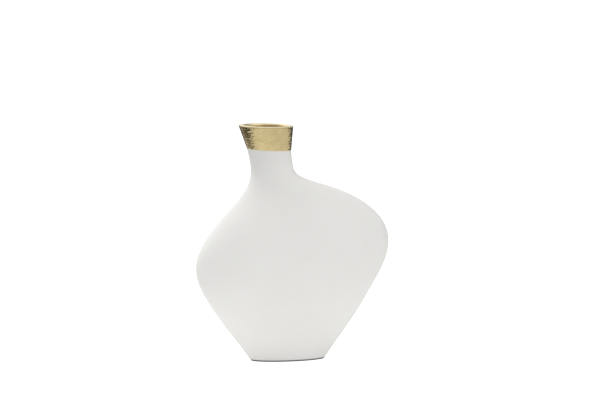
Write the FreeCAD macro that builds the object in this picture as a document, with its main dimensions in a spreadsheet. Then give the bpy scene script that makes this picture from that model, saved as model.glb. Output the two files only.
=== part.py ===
"""Asymmetric porcelain flask vase with a hammered brass neck collar.

Frame: +Z up, X along the wide side, Y through the thin side, front facing -Y.
The origin is the middle of the standing face, on the surface that the vase stands on.
Millimetres throughout. The whole shape is lofted through oval sections. A section is given by
its height, how far it reaches to the left and right of the origin, its half depth and its tilt
about Y, where a positive tilt lifts the left end.
"""
import FreeCAD, Part
import os
from collections import namedtuple

import Sketcher
from FreeCAD import Placement, Rotation, Vector

# Each outline is a cubic curve through a few key points. name: (height, value, slope), where the
# slope is the change of the value per millimetre of height. Left and right are the reach from the
# origin, depth is half the thickness, and tilt is in degrees.
OUTLINES = {
    "left": {
        "foot": (1.5, 50.5, 0.73),
        "flank": (68.0, 100.4, 0.68),
        "bulge": (121.0, 123.0, 0.0),
        "shoulder": (197.0, 78.0, -0.97),
        "waist": (245.0, 48.7, 0.0),
        "neck": (274.8, 54.0, 0.25),
    },
    "right": {
        "foot": (1.5, 50.5, 0.72),
        "flank": (80.0, 106.3, 0.58),
        "bulge": (151.0, 137.0, 0.0),
        "shoulder": (201.0, 106.0, -1.4),
        "root": (228.0, 48.0, -3.2),
        "crook": (240.0, 16.5, -1.5),
        "waist": (262.0, 5.8, -0.2),
        "neck": (274.8, 4.5, -0.1),
    },
    "depth": {
        "foot": (1.5, 25.0, 0.22),
        "bulge": (148.0, 49.0, 0.0),
        "waist": (250.0, 23.5, -0.12),
        "neck": (274.8, 22.0, 0.0),
    },
    "tilt": {
        "foot": (1.5, 0.0, 0.0),
        "root": (228.0, 0.0, 0.0),
        "neck": (274.8, 3.0, 0.04),
    },
}
KEY_FIELDS = ("height", "value", "slope")
# The heights at which the loft's sections stand, closer together where the outline turns and at
# the two ends, where a smooth loft is least held. The last is the neck's, under the spigot.
SECTION_HEIGHTS = (
    1.5, 13.0, 24.5, 47.0, 70.0, 92.0, 112.0, 132.0, 152.0, 172.0,
    190.0, 204.0, 215.0, 223.5, 231.0, 239.0, 250.0, 262.0, 274.8,
)
# The sections above the outlines. name: height, left reach, right reach, half depth, tilt.
# The rim is the collar's upper face. The liner's foot and throat are inside the neck, whose right
# side lies left of the origin there, so that their right reach is negative.
TOP_STATIONS = {
    "spigot_top": (289.0, 55.9, 2.4, 22.0, 2.2),
    "rim": (306.5, 65.3, 7.2, 31.0, 1.6),
    "throat": (291.0, 49.8, -4.0, 15.6, 2.2),
    "liner_foot": (272.0, 47.5, -1.7, 15.6, 3.0),
}
SIZES = {
    "porcelain_wall": 4.5,
    "foot_edge": 1.0,
    "rebate_depth": 1.8,
    "rebate_share": 1.3,
    "cut_reach": 8.0,
    "brass_sheet": 1.2,
    "lip_width": 6.0,
    "lip_overhang": 0.4,
    "bond_gap": 0.1,
    "bond_share": 0.33,
    "pad_thickness": 1.5,
    "pad_half_length": 49.4,
    "pad_half_depth": 23.9,
}
STATION_FIELDS = ("height", "left", "right", "depth", "tilt")
RULED, SMOOTH = True, False

# Each field is an expression on the sheet, so that a section follows its cells.
Section = namedtuple("Section", "middle height half_length half_depth tilt")


def fill_sheet(doc):
    """Puts every driving dimension in a cell of its own, with an alias."""
    sheet = doc.addObject("Spreadsheet::Sheet", "Dims")
    dims = dict(SIZES)
    for outline, keys in OUTLINES.items():
        for key, values in keys.items():
            for field, value in zip(KEY_FIELDS, values):
                dims[f"{outline}_{key}_{field}"] = value
    for number, height in enumerate(SECTION_HEIGHTS, start=1):
        dims[f"section_{number}_height"] = height
    for name, values in TOP_STATIONS.items():
        for field, value in zip(STATION_FIELDS, values):
            dims[f"{name}_{field}"] = value
    for row, (alias, value) in enumerate(dims.items(), start=1):
        sheet.set(f"A{row}", alias)
        sheet.set(f"B{row}", str(value))
        sheet.setAlias(f"B{row}", alias)
    doc.recompute()
    return sheet


def station(name):
    """The section that the sheet gives under this name."""
    left, right = f"Dims.{name}_left", f"Dims.{name}_right"
    return Section(
        middle=f"({right} - {left}) / 2",
        height=f"Dims.{name}_height",
        half_length=f"({right} + {left}) / 2",
        half_depth=f"Dims.{name}_depth",
        tilt=f"Dims.{name}_tilt",
    )


def on_outline(outline, number):
    """The expression for an outline's value at a numbered section: the cubic between the two key
    points about it that leaves each of them at its slope."""
    height = SECTION_HEIGHTS[number - 1]
    keys = list(OUTLINES[outline])
    high = next(key for key in keys[1:] if OUTLINES[outline][key][0] >= height)
    low = keys[keys.index(high) - 1]
    start, end = f"Dims.{outline}_{low}", f"Dims.{outline}_{high}"
    span = f"({end}_height - {start}_height)"
    gone = f"((Dims.section_{number}_height - {start}_height) / {span})"
    left = f"(1 - {gone})"
    values = f"{start}_value * (1 + 2 * {gone}) * {left}^2 + {end}_value * (1 + 2 * {left}) * {gone}^2"
    slopes = f"{start}_slope * {gone} * {left}^2 - {end}_slope * {gone}^2 * {left}"
    return f"({values} + {span} * ({slopes}))"


def outline_section(number):
    """The numbered section of the vase, worked out from the outlines at its height."""
    left, right = on_outline("left", number), on_outline("right", number)
    return Section(
        middle=f"({right} - {left}) / 2",
        height=f"Dims.section_{number}_height",
        half_length=f"({right} + {left}) / 2",
        half_depth=on_outline("depth", number),
        tilt=on_outline("tilt", number),
    )


def foot_section():
    """The lowest section of the vase, on top of the felt."""
    return outline_section(1)


def neck_section():
    """The top of the visible neck, where the collar begins."""
    return outline_section(len(SECTION_HEIGHTS))


def inset(section, *amounts):
    """The same section, smaller all round by the sum of the amounts."""
    total = " - ".join(amounts)
    return section._replace(
        half_length=f"{section.half_length} - {total}",
        half_depth=f"{section.half_depth} - {total}",
    )


def outset(section, amount):
    """The same section, larger all round by the amount."""
    return section._replace(
        half_length=f"{section.half_length} + {amount}",
        half_depth=f"{section.half_depth} + {amount}",
    )


def between(low, high, share):
    """The section a share of the way from low to high, in a straight line."""
    fields = [f"({a}) + (({b}) - ({a})) * {share}" for a, b in zip(low, high)]
    return Section(*fields)


def lifted(section, amount):
    """The same section, moved up by the amount."""
    return section._replace(height=f"{section.height} + {amount}")


def new_body(doc, name):
    """An empty body whose label names the sub-part."""
    body = doc.addObject("PartDesign::Body", name)
    body.Label = name
    body.Placement = Placement(Vector(0, 0, 0), Rotation())
    return body


def add_oval(sketch, sheet, half_length, half_depth):
    """One ellipse about the sketch's origin, with its two diameters bound to the sheet."""
    long_value = float(sheet.evalExpression(half_length))
    short_value = float(sheet.evalExpression(half_depth))
    oval = Part.Ellipse(Vector(long_value, 0, 0), Vector(0, short_value, 0), Vector(0, 0, 0))
    curve = sketch.addGeometry(oval, False)
    sketch.exposeInternalGeometry(curve)
    long_axis, short_axis = curve + 1, curve + 2
    sketch.addConstraint(Sketcher.Constraint("Coincident", curve, 3, -1, 1))
    sketch.addConstraint(Sketcher.Constraint("Horizontal", long_axis))
    for axis, value, half in ((long_axis, long_value, half_length), (short_axis, short_value, half_depth)):
        index = sketch.addConstraint(Sketcher.Constraint("Distance", axis, 2 * value))
        sketch.setExpression(f"Constraints[{index}]", f"2 * ({half})")


def oval_sketch(body, sheet, name, section, bore=None):
    """A sketch of one section, lying in its own tilted plane. A bore makes it a ring."""
    plane = next(f for f in body.Origin.OriginFeatures if f.Role == "XY_Plane")
    sketch = body.newObject("Sketcher::SketchObject", name)
    sketch.AttachmentSupport = [(plane, "")]
    sketch.MapMode = "FlatFace"
    sketch.AttachmentOffset = Placement(Vector(0, 0, 0), Rotation(Vector(0, 1, 0), 1))
    sketch.setExpression(".AttachmentOffset.Base.x", section.middle)
    sketch.setExpression(".AttachmentOffset.Base.z", section.height)
    sketch.setExpression(".AttachmentOffset.Rotation.Angle", f"({section.tilt}) * 1 deg")
    add_oval(sketch, sheet, section.half_length, section.half_depth)
    if bore is not None:
        add_oval(sketch, sheet, bore.half_length, bore.half_depth)
    return sketch


def add_loft(body, kind, name, sketches, ruled):
    """A solid loft through the sketches, added to the body or taken from it."""
    loft = body.newObject(f"PartDesign::{kind}", name)
    loft.Profile = sketches[0]
    loft.Sections = sketches[1:]
    loft.Ruled = ruled
    body.Document.recompute()
    return loft


def highest_flat_face(shape):
    """The name of the flat face at the top of a lofted shape."""
    flat = [i for i, face in enumerate(shape.Faces, 1) if isinstance(face.Surface, Part.Plane)]
    return f"Face{max(flat, key=lambda i: shape.Faces[i - 1].CenterOfMass.z)}"


def cut_round(body, sheet, name, low, high, low_inset, high_inset):
    """Takes off what stands outside the two sections, once each is made smaller by its inset."""
    ends = ((low, low_inset), (high, high_inset))
    rings = [
        oval_sketch(body, sheet, f"{name}_{i}", outset(end, "Dims.cut_reach"), inset(end, amount))
        for i, (end, amount) in enumerate(ends)
    ]
    return add_loft(body, "SubtractiveLoft", name, rings, RULED)


def vase_sections():
    """The vase's sections from the foot up, with one more half way up the spigot."""
    outlined = [outline_section(number) for number in range(1, len(SECTION_HEIGHTS) + 1)]
    spigot_top = station("spigot_top")
    return [*outlined, between(outlined[-1], spigot_top, "1 / 2"), spigot_top]


def make_porcelain_body(doc, sheet):
    """One cast shell: a smooth loft, hollowed from the mouth, with the top of its neck cut back to
    the spigot that the collar covers, and a bevel round its foot."""
    body = new_body(doc, "porcelain_body")
    sections = vase_sections()
    sketches = [oval_sketch(body, sheet, f"section_{i}", end) for i, end in enumerate(sections)]
    outside = add_loft(body, "AdditiveLoft", "outside", sketches, SMOOTH)

    hollow = body.newObject("PartDesign::Thickness", "hollow")
    hollow.Base = (outside, [highest_flat_face(outside.Shape)])
    hollow.setExpression("Value", "Dims.porcelain_wall")
    hollow.Reversed = True
    doc.recompute()

    neck, foot = neck_section(), foot_section()
    past_top = between(neck, station("spigot_top"), "Dims.rebate_share")
    cut_round(body, sheet, "rebate", neck, past_top, "Dims.rebate_depth", "Dims.rebate_depth")
    edge_top = lifted(foot, "Dims.foot_edge")
    cut_round(body, sheet, "foot_edge", foot, edge_top, "Dims.foot_edge", "-Dims.foot_edge")
    return body


def under_lip(amount):
    """The rim, smaller all round by the amount and moved down to the underside of the lip."""
    return lifted(inset(station("rim"), amount), "-Dims.brass_sheet / cos(Dims.rim_tilt * 1 deg)")


def sleeve_sections():
    """The outside of the sleeve at its lower edge and, under the lip, at its upper edge."""
    return neck_section(), under_lip("Dims.lip_overhang")


def make_collar_sleeve(doc, sheet):
    """The hammered sheet sleeve, flaring up from the neck to the underside of the lip."""
    body = new_body(doc, "collar_sleeve")
    rings = [
        oval_sketch(body, sheet, f"ring_{i}", end, inset(end, "Dims.brass_sheet"))
        for i, end in enumerate(sleeve_sections())
    ]
    add_loft(body, "AdditiveLoft", "sleeve", rings, RULED)
    return body


def make_collar_liner(doc, sheet):
    """The smooth liner: a tail inside the spigot, a flared throat and the flat lip."""
    body = new_body(doc, "collar_liner")
    mouth = under_lip("Dims.lip_width")
    rings = [
        oval_sketch(body, sheet, f"ring_{i}", outset(bore, "Dims.brass_sheet"), bore)
        for i, bore in enumerate((station("liner_foot"), station("throat"), mouth))
    ]
    add_loft(body, "AdditiveLoft", "throat", rings, RULED)

    rim = station("rim")
    lip_ring = oval_sketch(body, sheet, "lip_ring", rim, inset(rim, "Dims.lip_width"))
    lip = body.newObject("PartDesign::Pad", "lip")
    lip.Profile = lip_ring
    lip.setExpression("Length", "Dims.brass_sheet")
    lip.Reversed = True
    doc.recompute()
    return body


def make_collar_adhesive(doc, sheet):
    """The wedge of adhesive that fills the lower part of the gap between spigot and sleeve."""
    body = new_body(doc, "collar_adhesive")
    low, high = sleeve_sections()
    upper = between(low, high, "Dims.bond_share")
    spigot = inset(neck_section(), "Dims.rebate_depth", "-Dims.bond_gap")
    rings = [
        oval_sketch(body, sheet, f"ring_{i}", inset(end, "Dims.brass_sheet", "Dims.bond_gap"), spigot)
        for i, end in enumerate((low, upper))
    ]
    add_loft(body, "AdditiveLoft", "bond", rings, RULED)
    return body


def make_base_felt(doc, sheet):
    """The thin oval pad that the vase stands on."""
    body = new_body(doc, "base_felt")
    outline = Section("0", "0", "Dims.pad_half_length", "Dims.pad_half_depth", "0")
    pad = body.newObject("PartDesign::Pad", "pad")
    pad.Profile = oval_sketch(body, sheet, "outline", outline)
    pad.setExpression("Length", "Dims.pad_thickness")
    doc.recompute()
    return body


def check(doc, bodies):
    """Stops on any failed object and on any sub-part that isn't one sound solid."""
    for item in doc.Objects:
        if "Invalid" in item.State or "Error" in item.State:
            raise RuntimeError(f"{item.Label} failed: {item.State}")
    for body in bodies:
        shape = body.Shape
        if shape.isNull() or not shape.isValid() or len(shape.Solids) != 1:
            raise RuntimeError(f"{body.Label} is not one valid solid")
        print(f"{body.Label}: {shape.Volume / 1000:.1f} cm3")


def main():
    doc = FreeCAD.newDocument("vase")
    sheet = fill_sheet(doc)
    makers = (
        make_porcelain_body,
        make_collar_sleeve,
        make_collar_liner,
        make_collar_adhesive,
        make_base_felt,
    )
    bodies = [make(doc, sheet) for make in makers]
    doc.recompute()
    check(doc, bodies)
    os.makedirs("parts", exist_ok=True)
    for body in bodies:
        body.Shape.exportStep(f"parts/{body.Label}.step")


main()
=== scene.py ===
"""The looks of the porcelain flask vase with a hammered brass collar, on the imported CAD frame."""
import math

import bpy
import numpy as np
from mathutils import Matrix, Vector, noise


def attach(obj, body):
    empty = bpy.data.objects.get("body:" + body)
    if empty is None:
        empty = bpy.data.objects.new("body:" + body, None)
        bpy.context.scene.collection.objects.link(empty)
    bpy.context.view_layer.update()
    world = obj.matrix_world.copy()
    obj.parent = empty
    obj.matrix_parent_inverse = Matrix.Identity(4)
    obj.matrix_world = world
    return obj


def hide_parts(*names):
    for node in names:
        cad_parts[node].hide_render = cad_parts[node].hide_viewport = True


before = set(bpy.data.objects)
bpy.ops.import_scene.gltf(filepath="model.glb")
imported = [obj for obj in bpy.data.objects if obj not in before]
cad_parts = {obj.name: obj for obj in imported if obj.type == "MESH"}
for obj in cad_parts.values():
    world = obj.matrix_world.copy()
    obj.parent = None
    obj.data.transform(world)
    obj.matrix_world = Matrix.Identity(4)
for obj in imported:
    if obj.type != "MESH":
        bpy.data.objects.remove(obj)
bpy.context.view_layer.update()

MM = 0.001
SEGMENTS = 256
FULL_TURN = 2 * math.pi

# The outlines of the vase, as the CAD part has them: cubic curves through a few key points, each
# (height, value, slope). Left and right are the reach from the origin, depth is half the
# thickness, in millimetres, and tilt is in degrees.
OUTLINES = {
    "left": (
        (1.5, 50.5, 0.73), (68.0, 100.4, 0.68), (121.0, 123.0, 0.0),
        (197.0, 78.0, -0.97), (245.0, 48.7, 0.0), (274.8, 54.0, 0.25),
    ),
    "right": (
        (1.5, 50.5, 0.72), (80.0, 106.3, 0.58), (151.0, 137.0, 0.0), (201.0, 106.0, -1.4),
        (228.0, 48.0, -3.2), (240.0, 16.5, -1.5), (262.0, 5.8, -0.2), (274.8, 4.5, -0.1),
    ),
    "depth": ((1.5, 25.0, 0.22), (148.0, 49.0, 0.0), (250.0, 23.5, -0.12), (274.8, 22.0, 0.0)),
    "tilt": ((1.5, 0.0, 0.0), (228.0, 0.0, 0.0), (274.8, 3.0, 0.04)),
}
FOOT_HEIGHT, NECK_HEIGHT = 1.5, 274.8
# Sections above the outlines: height, left reach, right reach, half depth, tilt.
SPIGOT_TOP = (289.0, 55.9, 2.4, 22.0, 2.2)
RIM = (306.5, 65.3, 7.2, 31.0, 1.6)
THROAT = (291.0, 49.8, -4.0, 15.6, 2.2)
LINER_FOOT = (272.0, 47.5, -1.7, 15.6, 3.0)
WALL, REBATE, SHEET = 4.5, 1.8, 1.2
LIP_WIDTH, LIP_OVERHANG = 6.0, 0.4
PAD_HALF_LENGTH, PAD_HALF_DEPTH, PAD_THICKNESS = 49.4, 23.9, 1.5
# How the bottom of the hollow closes, from its round edge inwards: share of its width, drop.
CAVITY_FLOOR = ((0.93, 2.2), (0.8, 3.0), (0.4, 3.2))

# Columns of a ring: middle, height, half length, half depth, tilt.
MIDDLE, HEIGHT, HALF_LENGTH, HALF_DEPTH, TILT = range(5)

# Finer shapes, in millimetres: the vase's rounded foot and the open joint under the collar, the
# edges of the sleeve, the fillet inside the lip, and the edges of the pad.
FOOT_ROUND, JOINT_GAP = 1.2, 0.35
SLEEVE_EDGE, SLEEVE_TOP_EDGE = 0.35, 0.4
LIP_FILLET = 0.7
PAD_LOW_ROUND, PAD_HIGH_ROUND = 0.5, 0.3
# The slight unevenness of the porcelain: the size of its waves and their height.
WAVE_SIZE, WAVE_HEIGHT = 42, 0.22
# The hammer blows on the sleeve: spacing, how far each strays (as a share of the spacing),
# and the least and greatest radius and depth.
BLOW_PITCH, BLOW_STRAY, BLOW_ROW = 3.7, 0.32, 0.92
BLOW_RADIUS, BLOW_DEPTH = (2.3, 3.2), (0.07, 0.14)
SLEEVE_SEGMENTS, LINER_SEGMENTS = 640, 384

# The heights in metres between which the liner's brass turns from clean to a painted shade that
# darkens the throat, and the colour of that painted shade.
THROAT_SHADE = (0.3060, 0.3035)
THROAT_SHADE_COLOUR = (0.33, 0.235, 0.09)
# Each brass: its dark and its light tone, its roughness from and to, how strongly it is brushed.
HAMMERED_BRASS = ((0.70, 0.565, 0.29), (0.79, 0.645, 0.345), (0.14, 0.22), 0.03)
SMOOTH_BRASS = ((0.80, 0.67, 0.40), (0.87, 0.75, 0.48), (0.14, 0.22), 0.05)

# The table and the studio are not plain to the vase, only to the camera, which sees them white.
# What the vase sees of them gives its soft shading and the dark bands in the brass.
# The well lit part of the table, painted in as a paler base colour, in metres: (axis, (where it is
# dim, where it is fully lit)).
LIT_TABLE = (("X", (-0.47, -0.41)), ("X", (1.25, 1.0)), ("Y", (0.9, 0.6)), ("Y", (-1.3, -0.8)))
# The pool of extra light round the vase, a painted glow, in metres from its middle: (where it is gone,
# where it is full) on its outer side and on its inner side, under the vase, where the fade is a
# painted shadow of the vase.
POOL_OUTSIDE, POOL_INSIDE = (0.42, 0.24), (0.0, 0.14)
# The table's painted light: its base colour in the lit part and beyond it, and the strength of the
# pool's painted glow.
TABLE_NEAR, TABLE_FAR, TABLE_GLOW = 0.69, 0.05, 0.3

# How bright the studio is all round the object, near the horizon and higher up, as (azimuth in
# degrees, brightness). Azimuth 0 is in front, -Y, and 90 is to the right, +X.
LOW_STUDIO = (
    (-180, 1.1), (-140, 1.1), (-110, 0.9), (-75, 0.82), (-40, 1.05), (0, 1.15),
    (40, 1.05), (100, 0.7), (125, 0.55), (150, 0.75), (180, 1.1),
)
HIGH_STUDIO = (
    (-180, 1.35), (-120, 2.1), (-90, 1.25), (-65, 0.84), (20, 0.8),
    (40, 1.15), (75, 1.15), (100, 0.55), (125, 0.4), (150, 0.6), (180, 1.35),
)
# Where the high part takes over from the low part, and the ceiling from the high part, as the
# sine of the elevation, and how bright the ceiling is.
LOW_TO_HIGH, HIGH_TO_CEILING, CEILING = (0.22, 0.42), (0.93, 0.99), 1.4

# How far the floor reaches, and how far it lies under the pad, in metres.
FLOOR_REACH, FLOOR_DROP = 30.0, 0.0001

# What the camera looks at, in metres, from which direction in degrees and how far away.
TARGET, AZIMUTH, ELEVATION, DISTANCE = (0.017, 0, 0.2076), -17, 6.4, 6.0
LENS = 277.3


# ---------------------------------------------------------------- shapes

def ring(station):
    """A section as one row of ring columns."""
    height, left, right, depth, tilt = station
    return np.array([(right - left) / 2, height, (right + left) / 2, depth, tilt])


def on_outline(name, heights):
    """An outline's value at each height: the cubic between the key points about it."""
    values = np.zeros_like(heights)
    keys = OUTLINES[name]
    for (low, start, start_slope), (high, end, end_slope) in zip(keys, keys[1:]):
        here = (heights >= low) & (heights <= high)
        span = high - low
        gone = (heights[here] - low) / span
        left = 1 - gone
        value = start * (1 + 2 * gone) * left**2 + end * (1 + 2 * left) * gone**2
        slope = start_slope * gone * left**2 - end_slope * gone**2 * left
        values[here] = value + span * slope
    return values


def rings_at(heights):
    """The rings of the vase at these heights, between its foot and the top of its neck."""
    left, right, depth, tilt = (on_outline(name, heights) for name in OUTLINES)
    return np.stack([(right - left) / 2, heights, (right + left) / 2, depth, tilt], axis=-1)


def ring_at(height):
    """The ring of the vase at one height."""
    return rings_at(np.array([height]))[0]


def between(low, high, share):
    """The ring a share of the way from low to high."""
    return low + (high - low) * share


def inset(rings, amount):
    """The same ring or rings, smaller all round by the amount."""
    smaller = np.array(rings, float)
    smaller[..., HALF_LENGTH] -= amount
    smaller[..., HALF_DEPTH] -= amount
    return smaller


def natural_spline(knots, values, at):
    """Cubic spline through the values at the knots, with no bend at its two ends."""
    gap = np.diff(knots)
    slope = np.diff(values, axis=0) / gap[:, None]
    size = len(knots)
    matrix = np.eye(size)
    right = np.zeros_like(values)
    for i in range(1, size - 1):
        matrix[i, i - 1 : i + 2] = gap[i - 1], 2 * (gap[i - 1] + gap[i]), gap[i]
        right[i] = 6 * (slope[i] - slope[i - 1])
    bend = np.linalg.solve(matrix, right)
    i = np.clip(np.searchsorted(knots, at) - 1, 0, size - 2)
    span, a, b = gap[i][:, None], (knots[i + 1] - at)[:, None], (at - knots[i])[:, None]
    curve = (bend[i] * a**3 + bend[i + 1] * b**3) / (6 * span)
    line_a = (values[i] / span - bend[i] * span / 6) * a
    line_b = (values[i + 1] / span - bend[i + 1] * span / 6) * b
    return curve + line_a + line_b


def vase_rings(count):
    """Rings from the foot to the top of the neck, evenly spaced along the outline."""
    heights = np.linspace(FOOT_HEIGHT, NECK_HEIGHT, 20 * count)
    step = np.diff(rings_at(heights), axis=0)
    left = np.hypot(step[:, MIDDLE] - step[:, HALF_LENGTH], step[:, HEIGHT])
    right = np.hypot(step[:, MIDDLE] + step[:, HALF_LENGTH], step[:, HEIGHT])
    along = np.r_[0, np.cumsum(left + right)]
    return rings_at(np.interp(np.linspace(0, along[-1], count), along, heights))


def points(rings, segments=SEGMENTS):
    """The points of the rings, in millimetres, as an array (ring, segment, xyz)."""
    rings = np.atleast_2d(rings)
    angle = np.linspace(0, FULL_TURN, segments, endpoint=False) + math.pi / 2
    along, across = np.cos(angle), np.sin(angle)
    tilt = np.radians(rings[:, TILT])[:, None]
    reach = rings[:, HALF_LENGTH][:, None] * along
    x = rings[:, MIDDLE][:, None] + reach * np.cos(tilt)
    z = rings[:, HEIGHT][:, None] - reach * np.sin(tilt)
    y = rings[:, HALF_DEPTH][:, None] * across
    return np.stack([x, y, z], axis=-1)


def normals(grid):
    """Outward unit normals of a grid of rings that runs upward on an outside."""
    around = np.roll(grid, -1, axis=1) - np.roll(grid, 1, axis=1)
    up = np.gradient(grid, axis=0)
    normal = np.cross(around, up)
    return normal / np.linalg.norm(normal, axis=-1, keepdims=True)


def rounded(amount, steps):
    """(inset, lift) pairs of a quarter round, from its flat side to its upright side."""
    angles = np.linspace(0, math.pi / 2, steps)
    return [(amount * (1 - math.sin(a)), amount * (1 - math.cos(a))) for a in angles]


def unevenness(grid, size, amount, seed):
    """Smooth seeded height field over the grid's points: hand work is never quite even."""
    shift = Vector((seed * 7.3, seed * 3.1, seed * 5.7))
    flat = [noise.noise(Vector(p) / size + shift) for p in grid.reshape(-1, 3)]
    return amount * np.array(flat).reshape(grid.shape[:2] + (1,))


def skin(name, grid, closed_loop, material, smooth_angle=35):
    """A mesh through the grid's rings. A closed loop joins its last ring to its first, and
    otherwise the two end rings are closed with a fan."""
    rows, segments = grid.shape[:2]
    verts = [tuple(p) for p in grid.reshape(-1, 3) * MM]
    faces = []
    for i in range(rows if closed_loop else rows - 1):
        a, b = i * segments, (i + 1) % rows * segments
        for j in range(segments):
            k = (j + 1) % segments
            faces.append((a + j, a + k, b + k, b + j))
    if not closed_loop:
        for row, order in ((0, -1), (rows - 1, 1)):
            centre = len(verts)
            verts.append(tuple(grid[row].mean(axis=0) * MM))
            for j in range(segments):
                pair = (row * segments + j, row * segments + (j + 1) % segments)
                faces.append((*pair[::order], centre))
    mesh = bpy.data.meshes.new(name)
    mesh.from_pydata(verts, [], faces)
    mesh.validate()
    mesh.shade_smooth()
    mesh.set_sharp_from_angle(angle=math.radians(smooth_angle))
    mesh.materials.append(material)
    piece = bpy.data.objects.new(name, mesh)
    bpy.context.scene.collection.objects.link(piece)
    return piece


# ---------------------------------------------------------------- materials

def new_material(name):
    """(material, nodes, links, shader) of a new material with one Principled shader."""
    material = bpy.data.materials.new(name)
    material.use_nodes = True
    nodes, links = material.node_tree.nodes, material.node_tree.links
    return material, nodes, links, nodes["Principled BSDF"]


def noise_node(nodes, links, scale, detail, stretch=(1, 1, 1)):
    """A noise texture in object space, stretched by the given factors."""
    place = nodes.new("ShaderNodeTexCoord")
    mapping = nodes.new("ShaderNodeMapping")
    mapping.inputs["Scale"].default_value = stretch
    texture = nodes.new("ShaderNodeTexNoise")
    texture.inputs["Scale"].default_value = scale
    texture.inputs["Detail"].default_value = detail
    links.new(place.outputs["Object"], mapping.inputs["Vector"])
    links.new(mapping.outputs["Vector"], texture.inputs["Vector"])
    return texture


def ramp(nodes, links, source, stops):
    """A colour ramp on the source, with (position, colour) stops."""
    node = nodes.new("ShaderNodeValToRGB")
    elements = node.color_ramp.elements
    while len(elements) < len(stops):
        elements.new(0.5)
    for element, (position, colour) in zip(elements, stops):
        element.position = position
        element.color = (*colour, 1)
    links.new(source, node.inputs["Fac"])
    return node


def spread(nodes, links, source, low, high):
    """The source's value, mapped to run from low to high."""
    node = nodes.new("ShaderNodeMapRange")
    node.inputs["From Min"].default_value = 0.3
    node.inputs["From Max"].default_value = 0.7
    node.inputs["To Min"].default_value = low
    node.inputs["To Max"].default_value = high
    links.new(source, node.inputs["Value"])
    return node.outputs["Result"]


def fade(nodes, links, source, none_at, full_at):
    """Runs smoothly from 0 where the source is none_at to 1 where it is full_at."""
    node = nodes.new("ShaderNodeMapRange")
    node.interpolation_type = "SMOOTHSTEP"
    node.inputs["From Min"].default_value = none_at
    node.inputs["From Max"].default_value = full_at
    links.new(source, node.inputs["Value"])
    return node.outputs["Result"]


def add_bump(nodes, links, shader, heights):
    """Bumps one on another, each (height output, distance in metres, strength)."""
    last = None
    for height, distance, strength in heights:
        bump = nodes.new("ShaderNodeBump")
        bump.inputs["Distance"].default_value = distance
        bump.inputs["Strength"].default_value = strength
        links.new(height, bump.inputs["Height"])
        if last is not None:
            links.new(last, bump.inputs["Normal"])
        last = bump.outputs["Normal"]
    links.new(last, shader.inputs["Normal"])


def porcelain_material():
    """Matt white porcelain: faint clouds in the body, fine sanded grain, little gloss."""
    material, nodes, links, shader = new_material("matt_porcelain")
    clouds = noise_node(nodes, links, 14, 4)
    colour = ramp(nodes, links, clouds.outputs["Fac"], (
        (0.35, (0.875, 0.867, 0.843)),
        (0.65, (0.895, 0.888, 0.865)),
    ))
    links.new(colour.outputs["Color"], shader.inputs["Base Color"])
    grain = noise_node(nodes, links, 1400, 3)
    links.new(spread(nodes, links, grain.outputs["Fac"], 0.50, 0.62), shader.inputs["Roughness"])
    slurry = noise_node(nodes, links, 160, 2)
    add_bump(nodes, links, shader, (
        (slurry.outputs["Fac"], 0.00006, 0.35),
        (grain.outputs["Fac"], 0.00004, 0.35),
    ))
    shader.inputs["IOR"].default_value = 1.5
    shader.inputs["Specular IOR Level"].default_value = 0.42
    return material


def brass_material(name, dark, light, rough, brushed):
    """Pale brass. Its tone and polish vary a little, and fine brushing runs round it."""
    material, nodes, links, shader = new_material(name)
    shader.inputs["Metallic"].default_value = 1.0
    tone = noise_node(nodes, links, 120, 4)
    colour = ramp(nodes, links, tone.outputs["Fac"], ((0.35, dark), (0.68, light)))
    links.new(colour.outputs["Color"], shader.inputs["Base Color"])
    polish = noise_node(nodes, links, 420, 5)
    links.new(spread(nodes, links, polish.outputs["Fac"], *rough), shader.inputs["Roughness"])
    brushing = noise_node(nodes, links, 900, 2, stretch=(0.12, 0.12, 2.5))
    add_bump(nodes, links, shader, (
        (brushing.outputs["Fac"], 0.00002, brushed),
        (polish.outputs["Fac"], 0.00003, 0.15),
    ))
    return material


def paint_throat_shade(material):
    """Painted shade down the throat of the liner: its brass is darkened below the lip. The lip stays
    bright.
    """
    nodes, links = material.node_tree.nodes, material.node_tree.links
    shader = nodes["Principled BSDF"]
    clean = shader.inputs["Base Color"].links[0].from_socket
    place = nodes.new("ShaderNodeTexCoord")
    split = nodes.new("ShaderNodeSeparateXYZ")
    links.new(place.outputs["Object"], split.inputs["Vector"])
    depth = fade(nodes, links, split.outputs["Z"], *THROAT_SHADE)
    # The painted shade's colour, mixed in deeper down the throat.
    shaded = nodes.new("ShaderNodeMix")
    shaded.data_type = "RGBA"
    shaded.inputs["B"].default_value = (*THROAT_SHADE_COLOUR, 1)
    links.new(depth, shaded.inputs["Factor"])
    links.new(clean, shaded.inputs["A"])
    links.new(shaded.outputs["Result"], shader.inputs["Base Color"])
    return material


def adhesive_material():
    """Cured adhesive: dull, slightly yellow, with small bubbles."""
    material, nodes, links, shader = new_material("cured_adhesive")
    tone = noise_node(nodes, links, 260, 3)
    colour = ramp(nodes, links, tone.outputs["Fac"], (
        (0.3, (0.50, 0.45, 0.34)),
        (0.7, (0.62, 0.57, 0.45)),
    ))
    links.new(colour.outputs["Color"], shader.inputs["Base Color"])
    links.new(spread(nodes, links, tone.outputs["Fac"], 0.45, 0.7), shader.inputs["Roughness"])
    add_bump(nodes, links, shader, ((tone.outputs["Fac"], 0.0002, 0.5),))
    return material


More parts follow.
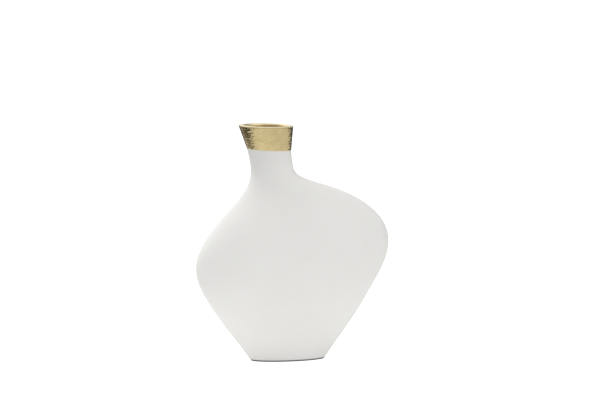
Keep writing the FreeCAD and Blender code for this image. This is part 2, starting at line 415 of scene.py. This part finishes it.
def felt_material():
    """Dark pressed felt: matted fibres, soft sheen."""
    material, nodes, links, shader = new_material("dark_felt")
    fibres = noise_node(nodes, links, 2400, 6, stretch=(1, 0.35, 1))
    colour = ramp(nodes, links, fibres.outputs["Fac"], (
        (0.3, (0.045, 0.043, 0.041)),
        (0.7, (0.115, 0.110, 0.104)),
    ))
    links.new(colour.outputs["Color"], shader.inputs["Base Color"])
    shader.inputs["Roughness"].default_value = 0.95
    shader.inputs["Sheen Weight"].default_value = 0.3
    mats = noise_node(nodes, links, 500, 3)
    add_bump(nodes, links, shader, (
        (mats.outputs["Fac"], 0.0002, 0.5),
        (fibres.outputs["Fac"], 0.0001, 0.6),
    ))
    return material


# ---------------------------------------------------------------- pieces

def make_vase(material):
    """The cast shell: rounded foot, smooth outside, rebated spigot, and the hollow inside."""
    outside = vase_rings(250)
    neck, spigot = outside[-1], ring(SPIGOT_TOP)

    foot = [
        inset(ring_at(FOOT_HEIGHT + lift), smaller) for smaller, lift in rounded(FOOT_ROUND, 8)
    ]
    side_foot, side_top = FOOT_HEIGHT + FOOT_ROUND + 0.5, NECK_HEIGHT - 1.2
    side = [row for row in outside if side_foot < row[HEIGHT] < side_top]
    body = points(np.array(foot + side))
    body += normals(body) * unevenness(body, WAVE_SIZE, WAVE_HEIGHT, 1)
    underside = points(np.array([inset(foot[0], 15), inset(foot[0], 5)]))

    edge = points(np.array([between(neck, spigot, -0.04), inset(neck, JOINT_GAP)]))
    stub = points(np.array([
        inset(neck, REBATE),
        inset(between(neck, spigot, 0.96), REBATE),
        inset(spigot, REBATE + 0.6),
        inset(spigot, WALL),
    ]))

    wall = [row for row in outside if row[HEIGHT] > FOOT_HEIGHT + WALL][::3]
    upward = points(np.array(wall + [between(neck, spigot, k) for k in (0.4, 0.7, 1.0)]))
    lining = (upward - normals(upward) * WALL)[::-1]
    low_end = lining[-1]
    centre = low_end.mean(axis=0)
    floor = [centre + (low_end - centre) * share - [0, 0, drop] for share, drop in CAVITY_FLOOR]
    grid = np.concatenate([underside, body, edge, stub, lining[1:], np.array(floor)])
    piece = skin("porcelain_vase", grid, False, material)
    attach(piece, "root")
    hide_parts("porcelain_body")
    return piece


def sleeve_ends():
    """The outside of the sleeve at its lower edge and at its upper edge, under the lip."""
    low, high = ring_at(NECK_HEIGHT), inset(ring(RIM), LIP_OVERHANG)
    high[HEIGHT] -= SHEET
    return low, high


def hammered(grid, seed):
    """How far each point of the grid is sunk by overlapping shallow hammer blows."""
    rng = np.random.default_rng(seed)
    around = np.linalg.norm(np.diff(grid, axis=1, append=grid[:, :1]), axis=-1)
    girth = around.sum(axis=1).mean()
    height = np.linalg.norm(grid[-1] - grid[0], axis=-1).mean()
    s = np.linspace(0, girth, grid.shape[1], endpoint=False)[None, :]
    t = np.linspace(0, height, grid.shape[0])[:, None]
    sunk = np.zeros(grid.shape[:2])
    columns, rows = round(girth / BLOW_PITCH), math.ceil(height / BLOW_PITCH) + 1
    for row in range(rows):
        for column in range(columns):
            cs = (column + 0.5 * (row % 2) + rng.uniform(-BLOW_STRAY, BLOW_STRAY)) * girth / columns
            ct = (row + rng.uniform(-BLOW_STRAY, BLOW_STRAY)) * BLOW_PITCH * BLOW_ROW
            radius, depth = rng.uniform(*BLOW_RADIUS), rng.uniform(*BLOW_DEPTH)
            ds = (s - cs + girth / 2) % girth - girth / 2
            bowl = depth * (1 - (ds**2 + (t - ct) ** 2) / radius**2)
            sunk = np.maximum(sunk, bowl)
    return sunk[..., None]


def make_sleeve(material):
    """The hammered sleeve: a dented outside and a plain inside, with softly broken edges."""
    low, high = sleeve_ends()
    shares = np.linspace(0.012, 0.985, 96)
    outside = points(np.array([between(low, high, k) for k in shares]), SLEEVE_SEGMENTS)
    outside -= normals(outside) * hammered(outside, 5)
    bottom = np.array([inset(low, SHEET - 0.1), inset(low, SLEEVE_EDGE)])
    top = np.array([inset(between(low, high, 0.998), SLEEVE_TOP_EDGE), inset(high, SHEET)])
    ends = [points(rings, SLEEVE_SEGMENTS) for rings in (bottom, top)]
    piece = skin("hammered_sleeve", np.concatenate([ends[0], outside, ends[1]]), True, material, 60)
    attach(piece, "root")
    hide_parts("collar_sleeve")
    return piece


def make_liner(material):
    """The smooth liner: its tail in the neck, the flared throat, and the rolled-out lip."""
    rim, throat, tail = ring(RIM), ring(THROAT), ring(LINER_FOOT)
    mouth = inset(rim, LIP_WIDTH)
    half = SHEET / 2

    inner = [between(tail, throat, k) for k in np.linspace(0, 0.86, 14)]
    bend = natural_spline(
        np.array([0, 1.0, 2.0, 3.0]),
        np.array([
            between(tail, throat, 0.9),
            between(throat, mouth, 0.06),
            between(throat, mouth, 0.5),
            between(throat, mouth, 0.93),
        ]),
        np.linspace(0, 3, 26),
    )
    inner += list(bend)
    for angle in np.linspace(0.3, math.pi / 2, 5):
        row = inset(mouth, -LIP_FILLET * (1 - math.cos(angle)))
        row[HEIGHT] -= LIP_FILLET * (1 - math.sin(angle))
        inner.append(row)
    lip = [between(mouth, rim, k) for k in np.linspace(0.2, 0.86, 7)]
    for angle in np.linspace(0, math.pi, 13):
        row = inset(rim, half * (1 - math.sin(angle)))
        row[HEIGHT] -= half * (1 - math.cos(angle))
        lip.append(row)
    back = inset(rim, LIP_WIDTH - SHEET)
    back[HEIGHT] -= SHEET
    below = [row for row in inner[:40:2][::-1] if row[HEIGHT] < back[HEIGHT] - 0.6]
    outer = [back] + [inset(row, -SHEET) for row in below]
    grid = points(np.array(inner + lip + outer), LINER_SEGMENTS)
    piece = skin("lip_and_liner", grid[::-1], True, material, 50)
    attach(piece, "root")
    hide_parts("collar_liner")
    return piece


def make_pad(material):
    """The felt pad, with a soft edge, rounded more at its foot than at its top."""
    outline = np.array([0, 0, PAD_HALF_LENGTH, PAD_HALF_DEPTH, 0.0])
    rings = []
    for smaller, lift in rounded(PAD_LOW_ROUND, 5):
        row = inset(outline, smaller)
        row[HEIGHT] = lift
        rings.append(row)
    for smaller, lift in rounded(PAD_HIGH_ROUND, 4)[::-1]:
        row = inset(outline, smaller)
        row[HEIGHT] = PAD_THICKNESS - 0.03 - lift
        rings.append(row)
    inner = inset(rings[0], 8)
    outer = inset(rings[-1], 8)
    grid = points(np.array([inner] + rings + [outer]))
    piece = skin("felt_pad", grid, False, material)
    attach(piece, "root")
    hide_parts("base_felt")
    return piece


def finish_adhesive(material):
    """The CAD ring of adhesive is right as it is, hidden in the collar, and gets its material."""
    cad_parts["collar_adhesive"].material_slots[0].material = material


# ---------------------------------------------------------------- studio

def multiply(nodes, links, first, second):
    """The product of two outputs."""
    node = nodes.new("ShaderNodeMath")
    node.operation = "MULTIPLY"
    links.new(first, node.inputs[0])
    links.new(second, node.inputs[1])
    return node.outputs["Value"]


def make_floor():
    """A white table top with its light painted in: a paler base colour about the vase and dim beyond
    that, a painted glow round the vase and a painted shadow of the vase under it. To the camera it is
    white all over."""
    material, nodes, links, lit = new_material("studio_floor")
    place = nodes.new("ShaderNodeTexCoord")
    split = nodes.new("ShaderNodeSeparateXYZ")
    links.new(place.outputs["Object"], split.inputs["Vector"])
    sides = [fade(nodes, links, split.outputs[axis], *ends) for axis, ends in LIT_TABLE]
    table = sides[0]
    for side in sides[1:]:
        table = multiply(nodes, links, table, side)
    # The lit part of the table is painted in its base colour.
    colour = ramp(nodes, links, table, ((0, (TABLE_FAR,) * 3), (1, (TABLE_NEAR,) * 3)))
    away = nodes.new("ShaderNodeVectorMath")
    away.operation = "LENGTH"
    links.new(place.outputs["Object"], away.inputs[0])
    # The pool is a painted glow, faded out under the vase as a painted shadow.
    pool = multiply(nodes, links, *(
        fade(nodes, links, away.outputs["Value"], *pair) for pair in (POOL_OUTSIDE, POOL_INSIDE)
    ))
    glow = ramp(nodes, links, pool, ((0, (0, 0, 0)), (1, (1, 1, 1))))
    links.new(colour.outputs["Color"], lit.inputs["Base Color"])
    links.new(glow.outputs["Color"], lit.inputs["Emission Color"])
    lit.inputs["Emission Strength"].default_value = TABLE_GLOW
    shown = nodes.new("ShaderNodeBsdfPrincipled")
    shown.inputs["Base Color"].default_value = (0.5, 0.5, 0.5, 1)
    shown.inputs["Emission Color"].default_value = (1, 1, 1, 1)
    shown.inputs["Emission Strength"].default_value = 0.75
    for shader in (lit, shown):
        shader.inputs["Roughness"].default_value = 0.9
        shader.inputs["Specular IOR Level"].default_value = 0.0
    seen = nodes.new("ShaderNodeLightPath")
    pick = nodes.new("ShaderNodeMixShader")
    links.new(seen.outputs["Is Camera Ray"], pick.inputs["Fac"])
    links.new(lit.outputs["BSDF"], pick.inputs[1])
    links.new(shown.outputs["BSDF"], pick.inputs[2])
    links.new(pick.outputs["Shader"], nodes["Material Output"].inputs["Surface"])
    mesh = bpy.data.meshes.new("studio_floor")
    signs = ((-1, -1), (1, -1), (1, 1), (-1, 1))
    corners = [(x * FLOOR_REACH, y * FLOOR_REACH, -FLOOR_DROP) for x, y in signs]
    mesh.from_pydata(corners, [], [(0, 1, 2, 3)])
    mesh.materials.append(material)
    floor = bpy.data.objects.new("studio_floor", mesh)
    bpy.context.scene.collection.objects.link(floor)


def mix_colours(nodes, links, share, first, second):
    """The first colour where the share is 0 and the second where it is 1. Either is an output or
    a brightness."""
    node = nodes.new("ShaderNodeMix")
    node.data_type = "RGBA"
    links.new(share, node.inputs["Factor"])
    for name, colour in (("A", first), ("B", second)):
        if isinstance(colour, float):
            node.inputs[name].default_value = (colour, colour, colour, 1)
        else:
            links.new(colour, node.inputs[name])
    return node.outputs["Result"]


def make_studio():
    """Soft boxes and darker gaps all round the object. The camera sees plain white."""
    world = bpy.data.worlds.new("studio")
    bpy.context.scene.world = world
    world.use_nodes = True
    nodes, links = world.node_tree.nodes, world.node_tree.links
    direction = nodes.new("ShaderNodeTexCoord")
    split = nodes.new("ShaderNodeSeparateXYZ")
    links.new(direction.outputs["Generated"], split.inputs["Vector"])
    front = nodes.new("ShaderNodeMath")
    front.operation = "MULTIPLY"
    front.inputs[1].default_value = -1
    links.new(split.outputs["Y"], front.inputs[0])
    turn = nodes.new("ShaderNodeMath")
    turn.operation = "ARCTAN2"
    links.new(split.outputs["X"], turn.inputs[0])
    links.new(front.outputs["Value"], turn.inputs[1])
    azimuth = nodes.new("ShaderNodeMapRange")
    azimuth.inputs["From Min"].default_value = -math.pi
    azimuth.inputs["From Max"].default_value = math.pi
    links.new(turn.outputs["Value"], azimuth.inputs["Value"])
    low, high = (
        ramp(nodes, links, azimuth.outputs["Result"], [((a + 180) / 360, (b, b, b)) for a, b in table])
        .outputs["Color"]
        for table in (LOW_STUDIO, HIGH_STUDIO)
    )
    up = split.outputs["Z"]
    sides = mix_colours(nodes, links, fade(nodes, links, up, *LOW_TO_HIGH), low, high)
    room = mix_colours(nodes, links, fade(nodes, links, up, *HIGH_TO_CEILING), sides, CEILING)
    seen = nodes.new("ShaderNodeLightPath")
    shown = mix_colours(nodes, links, seen.outputs["Is Camera Ray"], room, 1.0)
    links.new(shown, nodes["Background"].inputs["Color"])


def make_camera():
    """A long lens from the front, a little to the left of the vase and a little above it."""
    azimuth, elevation = math.radians(AZIMUTH), math.radians(ELEVATION)
    back = Vector((
        math.sin(azimuth) * math.cos(elevation),
        -math.cos(azimuth) * math.cos(elevation),
        math.sin(elevation),
    ))
    data = bpy.data.cameras.new("camera")
    data.lens = LENS
    data.clip_end = 100
    camera = bpy.data.objects.new("camera", data)
    bpy.context.scene.collection.objects.link(camera)
    camera.location = Vector(TARGET) + back * DISTANCE
    camera.rotation_mode = "QUATERNION"
    camera.rotation_quaternion = (-back).to_track_quat("-Z", "Y")
    bpy.context.scene.camera = camera


make_camera()
make_floor()
make_studio()
bpy.context.scene.view_settings.view_transform = "Standard"

make_vase(porcelain_material())
make_sleeve(brass_material("hammered_brass", *HAMMERED_BRASS))
make_liner(paint_throat_shade(brass_material("smooth_brass", *SMOOTH_BRASS)))
make_pad(felt_material())
finish_adhesive(adhesive_material())
